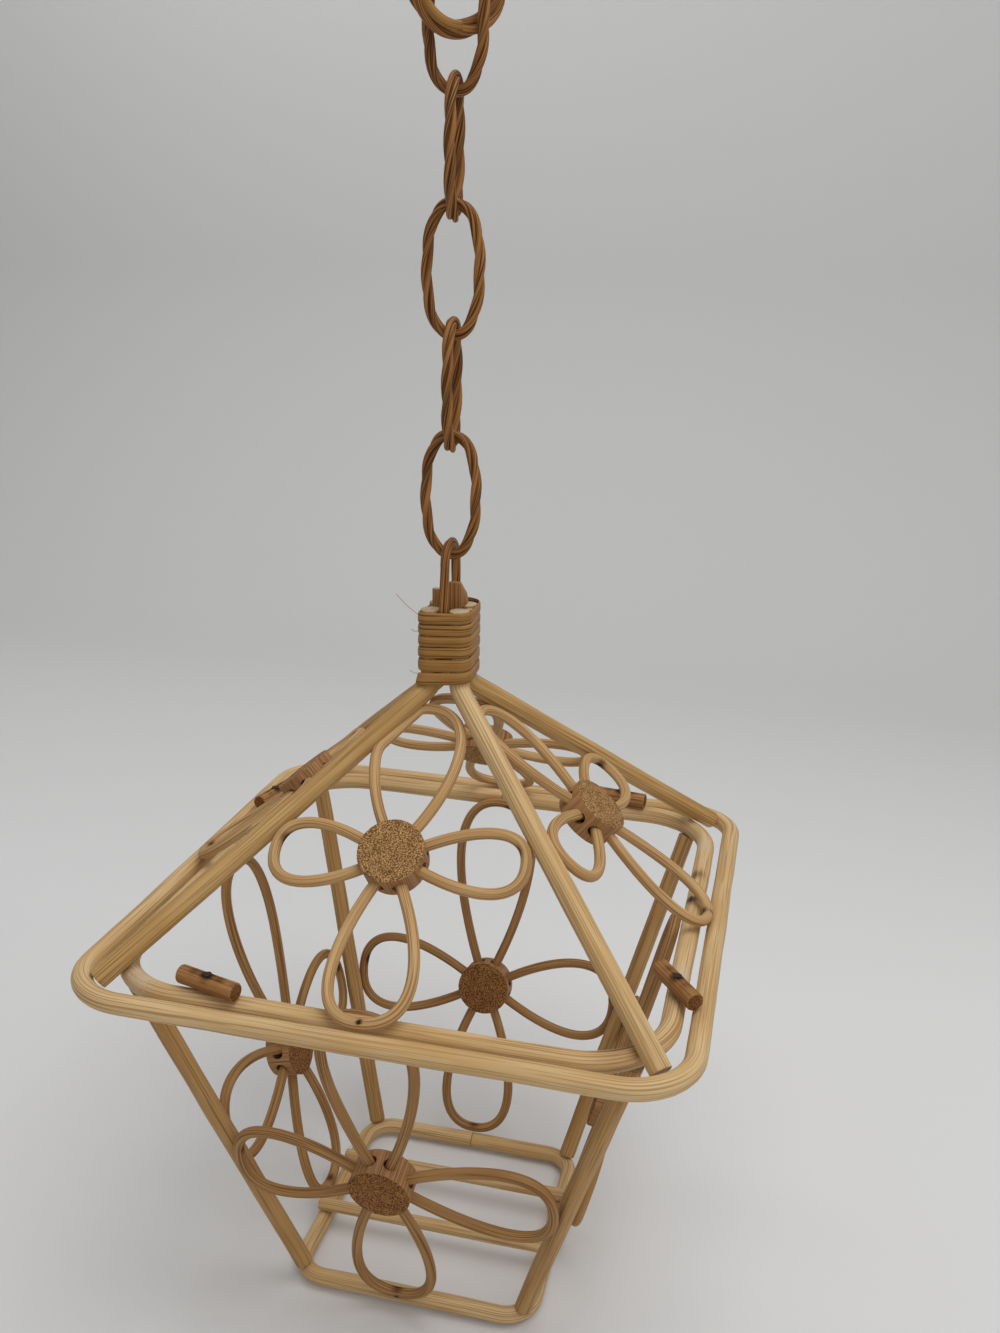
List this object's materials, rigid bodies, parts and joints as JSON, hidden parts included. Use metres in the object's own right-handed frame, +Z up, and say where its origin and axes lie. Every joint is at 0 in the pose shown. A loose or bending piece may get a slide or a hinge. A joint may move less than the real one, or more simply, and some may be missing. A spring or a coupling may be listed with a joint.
{
  "type": "hanging rattan planter",
  "caption": "Hanging rattan planter: a chain of twisted rattan links, a ribbed pyramid roof and a tapered open basket with bent-strand flowers, held by turn-buttons.",
  "frame": {"origin": "where a hook bears, inside the top bow of the first chain link", "axes": "+Z up, -Y the front face with the near turn-button on its left, +X to the right"},
  "size_m": [0.2996, 0.2996, 0.683],
  "materials": {
    "rattan_pole": "bare peeled pole, satin",
    "twisted_rattan": "brown twisted strands, satin",
    "rattan_strand": "bare bent strand, satin",
    "sawn_rattan": "rough sawn rattan, matt",
    "cane": "flat brown cane, satin",
    "nail_steel": "dull dark steel"
  },
  "bodies": {
    "top_link": {"chain_link_1": "twisted_rattan"},
    "ring": {"hanging_ring": "twisted_rattan"},
    "link_2": {"chain_link_2": "twisted_rattan"},
    "link_3": {"chain_link_3": "twisted_rattan"},
    "link_4": {"chain_link_4": "twisted_rattan"},
    "link_5": {"chain_link_5": "twisted_rattan"},
    "lantern": {"hanging_loop": "twisted_rattan", "filler_stick_left": "rattan_pole", "filler_stick_right": "rattan_pole", "bundle_wedge": "sawn_rattan", "cane_binding": "cane", "roof_rib_front_left": "rattan_pole", "basket_post_front_left": "rattan_pole", "roof_rib_front_right": "rattan_pole", "basket_post_front_right": "rattan_pole", "roof_rib_back_right": "rattan_pole", "basket_post_back_right": "rattan_pole", "roof_rib_back_left": "rattan_pole", "basket_post_back_left": "rattan_pole", "eave_ring": "rattan_pole", "basket_rim": "rattan_pole", "base_ring": "rattan_pole", "floor_bar_front": "rattan_pole", "floor_bar_back": "rattan_pole", "button_nail_front": "nail_steel", "roof_flower_front_petals": "rattan_strand", "roof_flower_front_hub": "sawn_rattan", "basket_flower_front_petals": "rattan_strand", "basket_flower_front_hub": "sawn_rattan", "button_nail_right": "nail_steel", "roof_flower_right_petals": "rattan_strand", "roof_flower_right_hub": "sawn_rattan", "basket_flower_right_petals": "rattan_strand", "basket_flower_right_hub": "sawn_rattan", "button_nail_back": "nail_steel", "roof_flower_back_petals": "rattan_strand", "roof_flower_back_hub": "sawn_rattan", "basket_flower_back_petals": "rattan_strand", "basket_flower_back_hub": "sawn_rattan", "button_nail_left": "nail_steel", "roof_flower_left_petals": "rattan_strand", "roof_flower_left_hub": "sawn_rattan", "basket_flower_left_petals": "rattan_strand", "basket_flower_left_hub": "sawn_rattan"},
    "button_front": {"turn_button_front": "sawn_rattan"},
    "button_right": {"turn_button_right": "sawn_rattan"},
    "button_back": {"turn_button_back": "sawn_rattan"},
    "button_left": {"turn_button_left": "sawn_rattan"}
  },
  "joints": [
    {"name": "ring_swing", "type": "hinge", "parent": "top_link", "child": "ring", "pos_m": [0, 0, 0.00275], "axis": [-0.6428, 0.766, 0], "range_deg": [-18, 18]},
    {"name": "link_2_swing", "type": "hinge", "parent": "top_link", "child": "link_2", "pos_m": [0, 0, -0.05585], "axis": [1, 0, 0], "range_deg": [-45, 45]},
    {"name": "link_3_swing", "type": "hinge", "parent": "link_2", "child": "link_3", "pos_m": [0, 0, -0.10845], "axis": [0, 1, 0], "range_deg": [-45, 45]},
    {"name": "link_4_swing", "type": "hinge", "parent": "link_3", "child": "link_4", "pos_m": [0, 0, -0.16105], "axis": [1, 0, 0], "range_deg": [-45, 45]},
    {"name": "link_5_swing", "type": "hinge", "parent": "link_4", "child": "link_5", "pos_m": [0, 0, -0.21365], "axis": [0, 1, 0], "range_deg": [-45, 45]},
    {"name": "lantern_swing", "type": "hinge", "parent": "link_5", "child": "lantern", "pos_m": [0, 0, -0.26625], "axis": [1, 0, 0], "range_deg": [-45, 45]},
    {"name": "button_front_turn", "type": "hinge", "parent": "lantern", "child": "button_front", "pos_m": [-0.075, -0.132, -0.4439], "axis": [0, 0, 1], "range_deg": [-75, 105]},
    {"name": "button_right_turn", "type": "hinge", "parent": "lantern", "child": "button_right", "pos_m": [0.132, -0.075, -0.4439], "axis": [0, 0, 1], "range_deg": [-126, 54]},
    {"name": "button_back_turn", "type": "hinge", "parent": "lantern", "child": "button_back", "pos_m": [0.075, 0.132, -0.4439], "axis": [0, 0, 1], "range_deg": [-82, 98]},
    {"name": "button_left_turn", "type": "hinge", "parent": "lantern", "child": "button_left", "pos_m": [-0.132, 0.075, -0.4439], "axis": [0, 0, 1], "range_deg": [-78, 102]}
  ]
}
